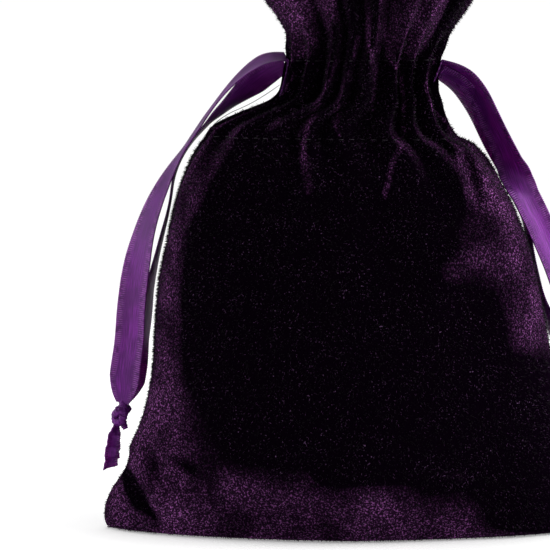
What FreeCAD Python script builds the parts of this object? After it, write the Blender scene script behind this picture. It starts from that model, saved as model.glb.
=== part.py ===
import FreeCAD, Part

import math
import os

import Sketcher

# Velvet drawstring pouch, closed and standing on its bottom fold.
# Millimetres. +Z up, -Y is the front, origin on the floor under the middle of the pouch.

# Sections of the standing pouch: height, half width, depth of the front half, sideways shift of the middle.
BODY_LEVELS = {
    "foot": (1.2, 48.8, 17.0, 0.0),
    "corner": (5.0, 49.2, 18.8, 0.0),
    "flare": (12.0, 46.4, 20.8, 0.0),
    "hip": (20.0, 42.6, 22.2, 0.0),
    "flank": (28.0, 40.4, 23.0, 0.0),
    "belly": (40.0, 39.2, 23.4, -0.3),
    "waist": (50.0, 37.6, 22.8, -1.1),
    "chest": (60.0, 35.0, 21.0, -1.8),
    "shoulder": (69.0, 31.8, 18.8, -2.7),
    "seam_end": (76.0, 28.2, 16.4, -3.2),
}
CASING_LEVELS = {
    "slit": (76.3, 28.0, 16.3, -3.2),
    "pleat_low": (80.0, 24.4, 14.4, -4.0),
    "pleat_high": (83.6, 19.9, 12.4, -2.3),
    "ribbon_low": (86.0, 17.2, 11.0, -0.6),
    "throat": (89.5, 15.9, 10.0, 0.9),
    "ribbon_high": (93.0, 15.7, 9.8, 1.7),
    "casing_top": (94.4, 15.7, 9.8, 1.9),
}
HEADER_LEVELS = {
    "collar": (98.0, 15.9, 10.0, 2.7),
    "ruffle_low": (104.0, 19.4, 12.0, 3.0),
    "ruffle_high": (112.0, 24.5, 14.5, 2.6),
    "rim_under": (117.8, 27.4, 16.2, 2.4),
    "rim": (119.0, 28.0, 16.5, 2.4),
}
LEVELS = {**BODY_LEVELS, **CASING_LEVELS, **HEADER_LEVELS}

SIZES = {
    "cloth": 1.2,  # velvet and its backing
    "ribbon_width": 7.0,
    "ribbon_thickness": 0.5,
    "first_ribbon_inset": 1.5,  # outer face of the left ribbon, in from the outside of the casing
    "second_ribbon_inset": 2.2,
    "facing_inset": 2.9,
    "panel_edge_gap": 0.05,  # half the gap between the two panels along a side seam
    "slit_edge_gap": 0.2,  # the same above the side seams, where front and back come apart
    "seam_width": 4.0,  # seam allowance inside each side seam
    "seam_half_thickness": 0.5,
    "seam_clearance": 0.4,
    "thread_radius": 0.18,
    "stitch_length": 1.5,
    "stitch_pitch": 2.3,
    "stitch_clearance": 0.03,
    "lower_row_height": 78.0,
    "upper_row_height": 93.8,
    "knot_half_width": 2.3,
    "knot_half_depth": 2.6,
    "knot_half_height": 3.2,
    "tail_length": 8.4,  # cut ends below a knot
    "tail_width": 3.6,
    "tail_slant": 1.6,
}

# Routes of the hanging ribbons, exit to knot, as (x, z) in the plane y = 0.
ROUTES = {
    "left_ribbon_front_tail": [
        (-14.5, 93.6), (-19.8, 93.2), (-25.4, 89.4), (-30.8, 83.0), (-35.6, 75.8),
        (-39.8, 66.4), (-43.0, 55.0), (-45.0, 41.0), (-46.8, 26.4),
    ],
    "left_ribbon_back_tail": [
        (-15.7, 90.8), (-20.2, 88.8), (-25.4, 84.8), (-30.3, 80.3), (-33.6, 74.6),
        (-37.0, 66.5), (-39.8, 56.0), (-42.4, 42.0), (-45.8, 26.4),
    ],
    "right_ribbon_front_tail": [
        (18.0, 93.2), (22.8, 92.4), (26.6, 88.2), (29.8, 81.6), (33.4, 74.2),
        (36.9, 66.0), (40.8, 56.5), (44.2, 44.0), (47.3, 28.2),
    ],
    "right_ribbon_back_tail": [
        (17.8, 90.4), (21.6, 88.2), (24.8, 83.8), (27.8, 78.2), (30.8, 71.2),
        (34.2, 62.8), (38.0, 53.6), (42.0, 42.0), (46.2, 28.2),
    ],
}
KNOTS = {"left": (-46.3, 22.8), "right": (46.8, 24.6)}
TAIL_TILT_DEG = {"left": 14.0, "right": -14.0}
ARC_SHARE = 0.45  # share of the shorter run that each bend of a route may use up

doc = FreeCAD.newDocument("pouch")
sheet = doc.addObject("Spreadsheet::Sheet", "Sizes")


def fill_sheet():
    """Driving sizes down column B, then one row of four cells for each level."""
    row = 1
    for name, value in SIZES.items():
        sheet.set(f"A{row}", name)
        sheet.set(f"B{row}", str(value))
        sheet.setAlias(f"B{row}", name)
        row += 1
    for level, values in LEVELS.items():
        sheet.set(f"A{row}", level)
        for column, part, value in zip("BCDE", ("height", "half_width", "depth", "shift"), values):
            sheet.set(f"{column}{row}", str(value))
            sheet.setAlias(f"{column}{row}", f"{level}_{part}")
        row += 1
    doc.recompute()


fill_sheet()


def size(alias):
    return float(sheet.get(alias))


def level_sizes(level):
    return [size(f"{level}_{part}") for part in ("height", "half_width", "depth", "shift")]


def arc_radius(half_width, depth):
    """Radius of the arc that spans twice half_width and bulges by depth."""
    return (half_width**2 + depth**2) / (2 * depth)


def arc_radius_expression(level):
    half, depth = f"Sizes.{level}_half_width", f"Sizes.{level}_depth"
    return f"({half} ^ 2 + {depth} ^ 2) / (2 * {depth})"


def name_constraint(sketch, constraint, name, expression):
    index = sketch.addConstraint(constraint)
    sketch.renameConstraint(index, name)
    sketch.setExpression(f"Constraints.{name}", expression)


def place_at_level(sketch, level, x_expression=None):
    height, _, _, shift = level_sizes(level)
    sketch.Placement.Base = FreeCAD.Vector(shift, 0, height)
    sketch.setExpression("Placement.Base.x", x_expression or f"Sizes.{level}_shift")
    sketch.setExpression("Placement.Base.z", f"Sizes.{level}_height")


def band_section(owner, level, inset, thickness, edge_gap):
    """Front half of one cloth layer at one level: two concentric arcs closed along the side seam plane.

    inset, thickness and edge_gap are aliases or numbers written as text.
    """
    sketch = doc.addObject("Sketcher::SketchObject", f"{owner}_{level}")
    place_at_level(sketch, level)
    _, half, depth, _ = level_sizes(level)
    radius = arc_radius(half, depth)
    centre = FreeCAD.Vector(0, radius - depth, 0)
    outer = radius - value_of(inset)
    inner = outer - value_of(thickness)
    edge = -value_of(edge_gap)

    def arc(arc_size):
        reach = math.sqrt(arc_size**2 - (centre.y - edge) ** 2)
        left = math.atan2(edge - centre.y, -reach)
        right = math.atan2(edge - centre.y, reach)
        circle = Part.Circle(centre, FreeCAD.Vector(0, 0, 1), arc_size)
        ends = FreeCAD.Vector(-reach, edge, 0), FreeCAD.Vector(reach, edge, 0)
        return Part.ArcOfCircle(circle, left, right), ends

    outer_arc, (outer_left, outer_right) = arc(outer)
    inner_arc, (inner_left, inner_right) = arc(inner)
    sketch.addGeometry(outer_arc)
    sketch.addGeometry(Part.LineSegment(outer_right, inner_right))
    sketch.addGeometry(inner_arc)
    sketch.addGeometry(Part.LineSegment(inner_left, outer_left))
    for first, first_end, second, second_end in ((0, 2, 1, 1), (1, 2, 2, 2), (2, 1, 3, 1), (3, 2, 0, 1)):
        sketch.addConstraint(Sketcher.Constraint("Coincident", first, first_end, second, second_end))
    sketch.addConstraint(Sketcher.Constraint("Horizontal", 1))
    sketch.addConstraint(Sketcher.Constraint("Horizontal", 3))
    sketch.addConstraint(Sketcher.Constraint("Coincident", 0, 3, 2, 3))
    sketch.addConstraint(Sketcher.Constraint("PointOnObject", 0, 3, -2))
    bulge = arc_radius_expression(level)
    name_constraint(
        sketch, Sketcher.Constraint("DistanceY", -1, 1, 0, 3, centre.y), "centre",
        f"{bulge} - Sizes.{level}_depth",
    )
    name_constraint(
        sketch, Sketcher.Constraint("Radius", 0, outer), "outer_radius", f"{bulge} - ({cell(inset)})"
    )
    name_constraint(
        sketch, Sketcher.Constraint("Radius", 2, inner), "inner_radius",
        f"{bulge} - ({cell(inset)}) - ({cell(thickness)})",
    )
    for line, side in ((1, "right_edge"), (3, "left_edge")):
        name_constraint(
            sketch, Sketcher.Constraint("DistanceY", -1, 1, line, 1, edge), side, f"-({cell(edge_gap)})"
        )
    return sketch


def value_of(term):
    return size(term) if term in SIZES else float(term)


def cell(term):
    return f"Sizes.{term}" if term in SIZES else term


def loft(name, sections, ruled):
    made = doc.addObject("Part::Loft", name)
    made.Sections = sections
    made.Solid = True
    made.Ruled = ruled
    return made


def layer(name, levels, inset="0", thickness="cloth", edge_gap="slit_edge_gap", ruled=True):
    """A layer of the front, lofted up through its levels."""
    sections = [band_section(name, level, inset, thickness, edge_gap) for level in levels]
    return loft(name, sections, ruled)


def mirrored(name, source):
    """The same piece on the back of the pouch."""
    made = doc.addObject("Part::Mirroring", name)
    made.Source = source
    made.Normal = FreeCAD.Vector(0, 1, 0)
    return made


def fused(name, *pieces):
    made = doc.addObject("Part::MultiFuse", name)
    made.Shapes = list(pieces)
    return made


nodes = {}


def keep(name, made):
    made.Label = name
    nodes[name] = made
    return made


def keep_front_and_back(name, made):
    keep(f"front_{name}", made)
    keep(f"back_{name}", mirrored(f"back_{name}_mirror", made))


# ---- velvet panels, casings, headers and facings ----


def make_velvet():
    casing = list(CASING_LEVELS)
    header = ["casing_top", "collar", "ruffle_low", "ruffle_high", "rim_under"]
    body = layer("panel", list(BODY_LEVELS), edge_gap="panel_edge_gap", ruled=False)
    keep_front_and_back("panel", body)
    keep_front_and_back("casing", layer("casing", casing))
    outside = layer("header_outside", header)
    full_wall = size("facing_inset") + size("cloth")
    top_fold = layer("header_top_fold", ["rim_under", "rim"], thickness=str(full_wall))
    keep_front_and_back("header", fused("header", outside, top_fold))
    keep_front_and_back("facing", layer("facing", casing + header[1:], inset="facing_inset"))


def make_bottom_fold():
    """The cloth under the pouch: a pointed oval the size of the lowest level."""
    body = doc.addObject("PartDesign::Body", "bottom_fold_body")
    sketch = body.newObject("Sketcher::SketchObject", "bottom_fold_outline")
    plane = [f for f in body.Origin.OriginFeatures if f.Role == "XY_Plane"][0]
    sketch.AttachmentSupport = [(plane, "")]
    sketch.MapMode = "FlatFace"
    _, half, depth, _ = level_sizes("foot")
    radius = arc_radius(half, depth)
    rise = radius - depth
    turn = math.atan2(rise, half)
    front = Part.Circle(FreeCAD.Vector(0, rise, 0), FreeCAD.Vector(0, 0, 1), radius)
    back = Part.Circle(FreeCAD.Vector(0, -rise, 0), FreeCAD.Vector(0, 0, 1), radius)
    sketch.addGeometry(Part.ArcOfCircle(front, math.pi + turn, 2 * math.pi - turn))
    sketch.addGeometry(Part.ArcOfCircle(back, turn, math.pi - turn))
    sketch.addConstraint(Sketcher.Constraint("Coincident", 0, 2, 1, 1))
    sketch.addConstraint(Sketcher.Constraint("Coincident", 1, 2, 0, 1))
    for arc in (0, 1):
        sketch.addConstraint(Sketcher.Constraint("PointOnObject", arc, 3, -2))
    sketch.addConstraint(Sketcher.Constraint("PointOnObject", 0, 2, -1))
    sketch.addConstraint(Sketcher.Constraint("Equal", 0, 1))
    bulge = arc_radius_expression("foot")
    name_constraint(sketch, Sketcher.Constraint("Radius", 0, radius), "radius", bulge)
    name_constraint(
        sketch, Sketcher.Constraint("DistanceY", -1, 1, 0, 3, rise), "centre", f"{bulge} - Sizes.foot_depth"
    )
    pad = body.newObject("PartDesign::Pad", "bottom_fold_pad")
    pad.Profile = sketch
    pad.setExpression("Length", "Sizes.foot_height")
    keep("bottom_fold", body)


# ---- side seams ----


def seam_section(side, sign, level):
    """Seam allowance at one level: a flat strip that starts just inside the corner of the two panels."""
    sketch = doc.addObject("Sketcher::SketchObject", f"{side}_seam_{level}")
    half, depth = f"Sizes.{level}_half_width", f"Sizes.{level}_depth"
    corner = f"2 * atan({depth} / {half})"
    room = "(Sizes.seam_half_thickness + Sizes.seam_clearance)"
    inset = f"Sizes.cloth / sin({corner}) + {room} / tan({corner})"
    place_at_level(sketch, level, f"Sizes.{level}_shift + ({sign}) * ({half} - ({inset}))")
    width = size("seam_width")
    thick = size("seam_half_thickness")
    corners = [(0, -thick), (-sign * width, -thick), (-sign * width, thick), (0, thick)]
    points = [FreeCAD.Vector(x, y, 0) for x, y in corners]
    for start, end in zip(points, points[1:] + points[:1]):
        sketch.addGeometry(Part.LineSegment(start, end))
    for line in range(4):
        sketch.addConstraint(Sketcher.Constraint("Coincident", line, 2, (line + 1) % 4, 1))
    for line, way in ((0, "Horizontal"), (1, "Vertical"), (2, "Horizontal"), (3, "Vertical")):
        sketch.addConstraint(Sketcher.Constraint(way, line))
    sketch.addConstraint(Sketcher.Constraint("PointOnObject", 3, 2, -2))
    name_constraint(
        sketch, Sketcher.Constraint("DistanceX", 0, 1, 0, 2, -sign * width), "width",
        f"({-sign}) * Sizes.seam_width",
    )
    name_constraint(
        sketch, Sketcher.Constraint("DistanceY", 0, 1, 3, 1, 2 * thick), "thickness",
        "2 * Sizes.seam_half_thickness",
    )
    name_constraint(
        sketch, Sketcher.Constraint("DistanceY", -1, 1, 3, 1, thick), "half", "Sizes.seam_half_thickness"
    )
    return sketch


def seam_corner(level, sign):
    """Where the seam allowance starts, as numbers."""
    height, half, depth, shift = level_sizes(level)
    corner = 2 * math.atan(depth / half)
    room = size("seam_half_thickness") + size("seam_clearance")
    inset = size("cloth") / math.sin(corner) + room / math.tan(corner)
    return FreeCAD.Vector(shift + sign * (half - inset), 0, height)


def stitch(name, start, along):
    """One stitch: a short length of thread from start, lying along a direction."""
    made = doc.addObject("Part::Cylinder", name)
    made.setExpression("Radius", "Sizes.thread_radius")
    made.setExpression("Height", "Sizes.stitch_length")
    turn = FreeCAD.Rotation(FreeCAD.Vector(0, 0, 1), along)
    made.Placement = FreeCAD.Placement(start, turn)
    return made


def stitch_group(name, places):
    group = doc.addObject("Part::Compound", name)
    group.Links = [stitch(f"{name}_{i}", start, along) for i, (start, along) in enumerate(places)]
    return group


def make_side_seam(side, sign):
    levels = [level for level in BODY_LEVELS if level != "foot"]
    sections = [seam_section(side, sign, level) for level in levels]
    keep(f"{side}_seam_allowance", loft(f"{side}_seam", sections, ruled=True))
    face = -(size("seam_half_thickness") + size("thread_radius") + size("stitch_clearance"))
    from_edge = FreeCAD.Vector(-sign * size("seam_width") / 2, face, 0)
    places = []
    for low, high in zip(levels, levels[1:]):
        start, end = seam_corner(low, sign), seam_corner(high, sign)
        along = (end - start).normalize()
        count = int((end - start).Length / size("stitch_pitch"))
        spare = (end - start).Length - count * size("stitch_pitch")
        for i in range(count):
            places.append((start + from_edge + along * (i * size("stitch_pitch") + spare / 2), along))
    keep(f"{side}_seam_thread", stitch_group(f"{side}_seam_stitches", places))


# ---- rows of stitching along the casing ----


def section_at(height):
    """Half width, depth and shift of the pouch between two levels."""
    names = sorted(LEVELS, key=lambda level: level_sizes(level)[0])
    for low, high in zip(names, names[1:]):
        below, above = level_sizes(low), level_sizes(high)
        if below[0] <= height <= above[0]:
            share = (height - below[0]) / (above[0] - below[0])
            return [b + share * (a - b) for b, a in zip(below[1:], above[1:])]
    raise ValueError(f"no level at {height}")


def make_casing_row(name, height):
    """Stitches laid along the outside of the front casing, and the same row mirrored on the back."""
    half, depth, shift = section_at(height)
    radius = arc_radius(half, depth) + size("thread_radius") + 4 * size("stitch_clearance")
    centre = FreeCAD.Vector(shift, arc_radius(half, depth) - depth, height)
    widest = math.asin(half / arc_radius(half, depth)) - size("stitch_pitch") / radius
    count = int(2 * widest * radius / size("stitch_pitch"))
    places = []
    for i in range(count + 1):
        angle = -widest + 2 * widest * i / count
        out = FreeCAD.Vector(math.sin(angle), -math.cos(angle), 0)
        along = FreeCAD.Vector(math.cos(angle), math.sin(angle), 0)
        places.append((centre + out * radius - along * (size("stitch_length") / 2), along))
    keep_front_and_back(name, stitch_group(f"{name}_row", places))


# ---- ribbons ----


def make_ribbon_runs():
    """Both ribbons go round through both casings, one behind the other."""
    levels = ["ribbon_low", "throat", "ribbon_high"]
    for side, inset in (("left", "first_ribbon_inset"), ("right", "second_ribbon_inset")):
        run = layer(f"{side}_run", levels, inset=inset, thickness="ribbon_thickness")
        keep(f"{side}_ribbon_front_run", run)
        keep(f"{side}_ribbon_back_run", mirrored(f"{side}_back_run_mirror", run))


def rounded_path(points):
    """Straight runs joined by tangent arcs. Returns the wire and the arc radii."""
    edges, radii, last = [], [], points[0]
    for before, corner, after in zip(points, points[1:], points[2:]):
        back, ahead = before - corner, after - corner
        turn = math.pi - back.getAngle(ahead)
        reach = ARC_SHARE * min(back.Length, ahead.Length)
        radii.append(reach / math.tan(turn / 2))
        start = corner + back.normalize() * reach
        end = corner + ahead.normalize() * reach
        inward = (back + ahead).normalize()
        middle = corner + inward * (radii[-1] / math.cos(turn / 2) - radii[-1])
        edges.append(Part.LineSegment(last, start).toShape())
        edges.append(Part.Arc(start, middle, end).toShape())
        last = end
    edges.append(Part.LineSegment(last, points[-1]).toShape())
    return Part.Wire(edges), radii


def make_ribbon_tail(name):
    """A flat strip, its width front to back, along the rounded route."""
    points = [FreeCAD.Vector(x, 0, z) for x, z in ROUTES[name]]
    path, radii = rounded_path(points)
    width, thick = size("ribbon_width"), size("ribbon_thickness")
    ahead = (points[1] - points[0]).normalize()
    across = FreeCAD.Vector(0, 1, 0)
    up = ahead.cross(across)
    corners = [
        points[0] + across * (a * width / 2) + up * (u * thick / 2)
        for a, u in ((-1, -1), (1, -1), (1, 1), (-1, 1), (-1, -1))
    ]
    made = doc.addObject("Part::Feature", name)
    made.Shape = path.makePipeShell([Part.makePolygon(corners)], True, False)
    keep(name, made)
    ratio = made.Shape.Volume / (path.Length * width * thick)
    print(f"{name}: length {path.Length:.1f}, volume ratio {ratio:.3f}, radii",
          [round(radius, 1) for radius in radii])


def make_knot(side):
    x, z = KNOTS[side]
    knot = doc.addObject("Part::Ellipsoid", f"{side}_knot_body")
    knot.setExpression("Radius1", "Sizes.knot_half_height")
    knot.setExpression("Radius2", "Sizes.knot_half_width")
    knot.setExpression("Radius3", "Sizes.knot_half_depth")
    knot.Placement.Base = FreeCAD.Vector(x, 0, z)
    keep(f"{side}_knot", knot)


def make_cut_end(side, face, offset):
    """A cut end below a knot: a narrow strip with a slanted tip, tilted away from the pouch."""
    body = doc.addObject("PartDesign::Body", f"{side}_{face}_end_body")
    sketch = body.newObject("Sketcher::SketchObject", f"{side}_{face}_end_outline")
    plane = [f for f in body.Origin.OriginFeatures if f.Role == "XZ_Plane"][0]
    sketch.AttachmentSupport = [(plane, "")]
    sketch.MapMode = "FlatFace"
    width, length, slant = size("tail_width"), size("tail_length"), size("tail_slant")
    corners = [(-width / 2, 0), (-width / 2, -length), (width / 2, slant - length), (width / 2, 0)]
    points = [FreeCAD.Vector(x, y, 0) for x, y in corners]
    for start, end in zip(points, points[1:] + points[:1]):
        sketch.addGeometry(Part.LineSegment(start, end))
    for line in range(4):
        sketch.addConstraint(Sketcher.Constraint("Coincident", line, 2, (line + 1) % 4, 1))
    sketch.addConstraint(Sketcher.Constraint("Vertical", 0))
    sketch.addConstraint(Sketcher.Constraint("Vertical", 2))
    sketch.addConstraint(Sketcher.Constraint("PointOnObject", 0, 1, -1))
    sketch.addConstraint(Sketcher.Constraint("Symmetric", 0, 1, 2, 2, -1, 1))
    name_constraint(
        sketch, Sketcher.Constraint("DistanceX", 0, 1, 2, 2, width), "width", "Sizes.tail_width"
    )
    name_constraint(
        sketch, Sketcher.Constraint("DistanceY", 0, 2, 0, 1, length), "length", "Sizes.tail_length"
    )
    name_constraint(
        sketch, Sketcher.Constraint("DistanceY", 1, 1, 1, 2, slant), "slant", "Sizes.tail_slant"
    )
    pad = body.newObject("PartDesign::Pad", f"{side}_{face}_end_pad")
    pad.Profile = sketch
    pad.setExpression("Length", "Sizes.ribbon_thickness")
    x, z = KNOTS[side]
    tilt = FreeCAD.Rotation(FreeCAD.Vector(0, 1, 0), TAIL_TILT_DEG[side])
    hang = tilt.multVec(FreeCAD.Vector(0, 0, -size("knot_half_height") - 0.1))
    body.Placement = FreeCAD.Placement(FreeCAD.Vector(x, offset, z) + hang, tilt)
    keep(f"{side}_ribbon_{face}_end", body)


def make_ribbons():
    make_ribbon_runs()
    for name in ROUTES:
        make_ribbon_tail(name)
    for side in KNOTS:
        make_knot(side)
        make_cut_end(side, "front", -0.5)
        make_cut_end(side, "back", 0.9)


# ---- checks and export ----


def check_and_export():
    doc.recompute()
    for made in doc.Objects:
        if "Invalid" in made.State or "Error" in made.State:
            raise RuntimeError(f"{made.Name} failed: {made.State}")
    os.makedirs("parts", exist_ok=True)
    for name, made in nodes.items():
        if made.Shape.isNull() or not made.Shape.isValid():
            raise RuntimeError(f"{name} has no valid shape")
        made.Shape.exportStep(f"parts/{name}.step")
        print(name, len(made.Shape.Solids), round(made.Shape.Volume, 1))


make_velvet()
make_bottom_fold()
make_side_seam("left", -1)
make_side_seam("right", 1)
make_casing_row("lower_stitching", size("lower_row_height"))
make_casing_row("upper_stitching", size("upper_row_height"))
make_ribbons()
check_and_export()
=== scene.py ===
"""A dark purple velvet dice bag, drawn closed, with satin drawstring ribbons.

Lengths are in millimetres until a mesh is made, and MM turns them into metres.
The front is towards -Y. Cloth length is measured up a panel from the fold at its foot.
"""

import math

import bpy
import numpy as np
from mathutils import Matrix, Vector


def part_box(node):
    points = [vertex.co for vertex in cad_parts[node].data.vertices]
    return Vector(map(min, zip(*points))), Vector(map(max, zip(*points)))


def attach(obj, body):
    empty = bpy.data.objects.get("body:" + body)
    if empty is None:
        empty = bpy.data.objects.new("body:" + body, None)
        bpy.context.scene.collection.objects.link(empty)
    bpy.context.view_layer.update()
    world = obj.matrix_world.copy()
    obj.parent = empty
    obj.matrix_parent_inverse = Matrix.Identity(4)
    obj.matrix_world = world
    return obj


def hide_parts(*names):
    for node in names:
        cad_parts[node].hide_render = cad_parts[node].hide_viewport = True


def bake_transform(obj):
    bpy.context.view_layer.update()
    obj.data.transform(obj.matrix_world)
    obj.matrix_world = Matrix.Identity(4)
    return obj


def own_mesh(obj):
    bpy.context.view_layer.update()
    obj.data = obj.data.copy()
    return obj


MM = 0.001
MM_PER_CM = 10  # the ribbon's UV map is in centimetres
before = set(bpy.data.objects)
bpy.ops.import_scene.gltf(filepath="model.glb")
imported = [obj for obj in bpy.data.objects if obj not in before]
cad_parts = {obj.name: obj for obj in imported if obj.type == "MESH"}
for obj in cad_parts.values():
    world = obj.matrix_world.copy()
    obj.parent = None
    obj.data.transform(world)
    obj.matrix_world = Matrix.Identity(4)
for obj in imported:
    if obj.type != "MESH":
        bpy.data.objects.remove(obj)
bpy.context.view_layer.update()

# ---- the pouch as it stands ----

# height, left half width, right half width, half depth, fullness
# (a fullness of 1.4 is a pointed lens, 2 an ellipse and 3 nearly a box)
DRAPE = np.array([
    (0, 49, 48.4, 16, 1.6),
    (2, 49.7, 49, 17.6, 1.6),
    (4, 49.6, 49.2, 18.6, 1.6),
    (6, 49, 48.6, 19.3, 1.6),
    (8, 48.1, 47.8, 20, 1.6),
    (10, 46.7, 47, 20.6, 1.6),
    (12.4, 45.3, 46, 21.2, 1.6),
    (14.4, 44.7, 45.1, 21.6, 1.65),
    (16, 44.6, 44.4, 21.8, 1.65),
    (20, 42.9, 42.5, 22.3, 1.75),
    (26, 41, 40.6, 22.8, 1.85),
    (34, 39.8, 39.3, 23, 2.1),
    (42, 39.3, 37.8, 23.3, 2.3),
    (50, 38.5, 36.2, 22.9, 2.5),
    (57, 37, 34.3, 21.8, 2.7),
    (63, 35.8, 32, 20.4, 2.7),
    (69.5, 33.9, 28.8, 18.6, 2.9),
    (74.5, 31.9, 25.8, 17, 2.9),
    (77, 30.4, 23.2, 15.9, 2.8),
    (78.6, 29.5, 20.2, 15.1, 2.7),
    (80, 28.3, 19.1, 14.3, 2.6),
    (81.6, 25.6, 18.3, 13.3, 2.5),
    (83.6, 20.9, 17.6, 12.1, 2.3),
    (85.4, 16.5, 17.2, 11.1, 2.2),
    (87, 14.8, 16.6, 10.4, 2.1),
    (90, 14.2, 16.5, 9.8, 2),
    (94, 13.8, 17.5, 9.6, 2),
    (98, 13.4, 18.6, 9.9, 2),
    (102, 15.4, 21.2, 11.4, 2),
    (106, 18.4, 23.8, 13.4, 2),
    (112, 22, 27, 16.4, 2),
    (119, 25.6, 30.6, 19, 2),
])
HEIGHT = DRAPE[-1, 0]
FLAT_WIDTH, FLAT_HEIGHT = 102.0, 140.0
FACING = 43.0  # the mouth's hem, turned down inside as far as the lower stitching
# Cloth length of the casing's two rows of stitching, and the height that each stands at.
LOWER_ROW, LOWER_ROW_HEIGHT = 97.0, 78.0
UPPER_ROW, UPPER_ROW_HEIGHT = 113.0, 93.8
STITCH_GROOVE, GROOVE_WIDTH = 0.5, 0.9  # how far the stitching pulls the cloth in, and how wide
FLOOR_CLEARANCE = 0.2
CORNER_LIFT, CORNER_SHARPNESS = 0.1, 24  # how far the foot's corners rise, and how close to them
HEM_THICKNESS = 2.2  # two layers of velvet
HEM_ROLL_STEPS = 4
# From the middle to each panel's side edge: where the ribbons leave, and at the rim.
SLIT_GAP, RIM_GAP = 1.25, 0.45
# Cloth lengths over which the edges part, and over which they close again.
SLIT_OPENS = (LOWER_ROW - 4, LOWER_ROW + 4)
SLIT_CLOSES = (UPPER_ROW, UPPER_ROW + 9)

RIBBON_WIDTH = 7.0
RIBBON_THICKNESS = 0.24
SELVAGE = 1.5  # width of the woven edge
BAR_PITCH = 0.42  # along the selvage

COLUMNS, ROWS = 100, 138  # of each panel's cloth
CLOTH = np.linspace(0, FLAT_HEIGHT, ROWS + 1)
# Steps round half an outline, between the outlines up the pouch, and up a column of cloth.
OUTLINE_STEPS, SECTION_STEPS, LENGTH_STEPS = 320, 599, 259
NORMAL_REACH = 0.02  # share of the outline's length, each way, that a normal is taken over

PLEATS = 9
PLEAT_GAPS, PLEAT_DEPTHS, PLEAT_STARTS = (0.7, 1.35), (0.75, 1.1), (54, 71)
PLEAT_GROWTH = 16  # height over which a pleat reaches its full depth
# How much of a pleat is left at the rim, by its place from the middle of the panel.
PLEATS_AT_RIM = [0, 1.5, 3], [1.15, 0.9, 0.12]
RIM_PLEATS_FROM = (92, 100)
# height, how far the pleats' valleys go in
PLEAT_DEPTH = np.array([
    (56, 0), (66, 0.6), (72, 1.4), (78, 2.4), (84, 3.5), (89, 4.2),
    (95, 4.2), (99, 3.7), (105, 3.2), (112, 3), (119, 2.8),
])


def smooth_curve(x, table, column=1):
    """Cubic Hermite curve through a table's rows, with slopes that don't overshoot."""
    table = np.asarray(table, float)
    xs, ys = table[:, 0], table[:, column]
    step = np.diff(xs)
    rise = np.diff(ys) / step
    slope = np.zeros(len(xs))
    same = rise[:-1] * rise[1:] > 0
    slope[1:-1][same] = 2 * (rise[:-1] * rise[1:])[same] / (rise[:-1] + rise[1:])[same]
    slope[0], slope[-1] = rise[0], rise[-1]
    x = np.clip(x, xs[0], xs[-1])
    i = np.clip(np.searchsorted(xs, x) - 1, 0, len(xs) - 2)
    t = (x - xs[i]) / step[i]
    return (
        ys[i] * (1 + 2 * t) * (1 - t) ** 2
        + ys[i + 1] * t * t * (3 - 2 * t)
        + slope[i] * step[i] * t * (1 - t) ** 2
        - slope[i + 1] * step[i] * t * t * (1 - t)
    )


def smoothstep(low, high, x):
    t = np.clip((x - low) / (high - low), 0, 1)
    return t * t * (3 - 2 * t)


def unit(vectors):
    return vectors / np.maximum(np.linalg.norm(vectors, axis=-1, keepdims=True), 1e-9)


def outline(height, shares):
    """Front half of the outline at one height: x, y and normal, at shares from left to right."""
    left, right, depth, full = [float(smooth_curve(height, DRAPE, k)) for k in range(1, 5)]
    turn = np.linspace(0, math.pi, OUTLINE_STEPS + 1)
    cos, sin = np.cos(turn), np.sin(turn)
    x = (right - left) / 2 - (left + right) / 2 * np.sign(cos) * np.abs(cos) ** (2 / full)
    y = -depth * np.abs(sin) ** (2 / full)
    run = np.concatenate([[0], np.cumsum(np.hypot(np.diff(x), np.diff(y)))])
    at = np.asarray(shares) * run[-1]
    near = NORMAL_REACH * run[-1]
    tx = np.interp(at + near, run, x) - np.interp(at - near, run, x)
    ty = np.interp(at + near, run, y) - np.interp(at - near, run, y)
    length = np.hypot(tx, ty)
    return np.interp(at, run, x), np.interp(at, run, y), ty / length, -tx / length


class Pleats:
    """Where one panel's pleats lie across it, and how deep and how long each one is."""

    def __init__(self, seed):
        rng = np.random.default_rng(seed)
        gaps = rng.uniform(*PLEAT_GAPS, PLEATS)
        self.ridges = np.concatenate([[0], np.cumsum(gaps) / gaps.sum()])
        self.depth = rng.uniform(*PLEAT_DEPTHS, PLEATS)
        self.start = rng.uniform(*PLEAT_STARTS, PLEATS)
        self.at_rim = np.interp(np.abs(np.arange(PLEATS) - (PLEATS - 1) / 2), *PLEATS_AT_RIM)

    def depth_at(self, shares, height):
        """How far the cloth goes in at each share across the panel, at that share's height."""
        phase = np.interp(shares, self.ridges, np.arange(PLEATS + 1))
        k = np.clip(phase.astype(int), 0, PLEATS - 1)
        grown = smoothstep(self.start[k], self.start[k] + PLEAT_GROWTH, height)
        opened = 1 + (self.at_rim[k] - 1) * smoothstep(*RIM_PLEATS_FROM, height)
        wave = (1 - np.cos(2 * math.pi * phase)) / 2
        return smooth_curve(height, PLEAT_DEPTH) * self.depth[k] * grown * opened * wave


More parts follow.
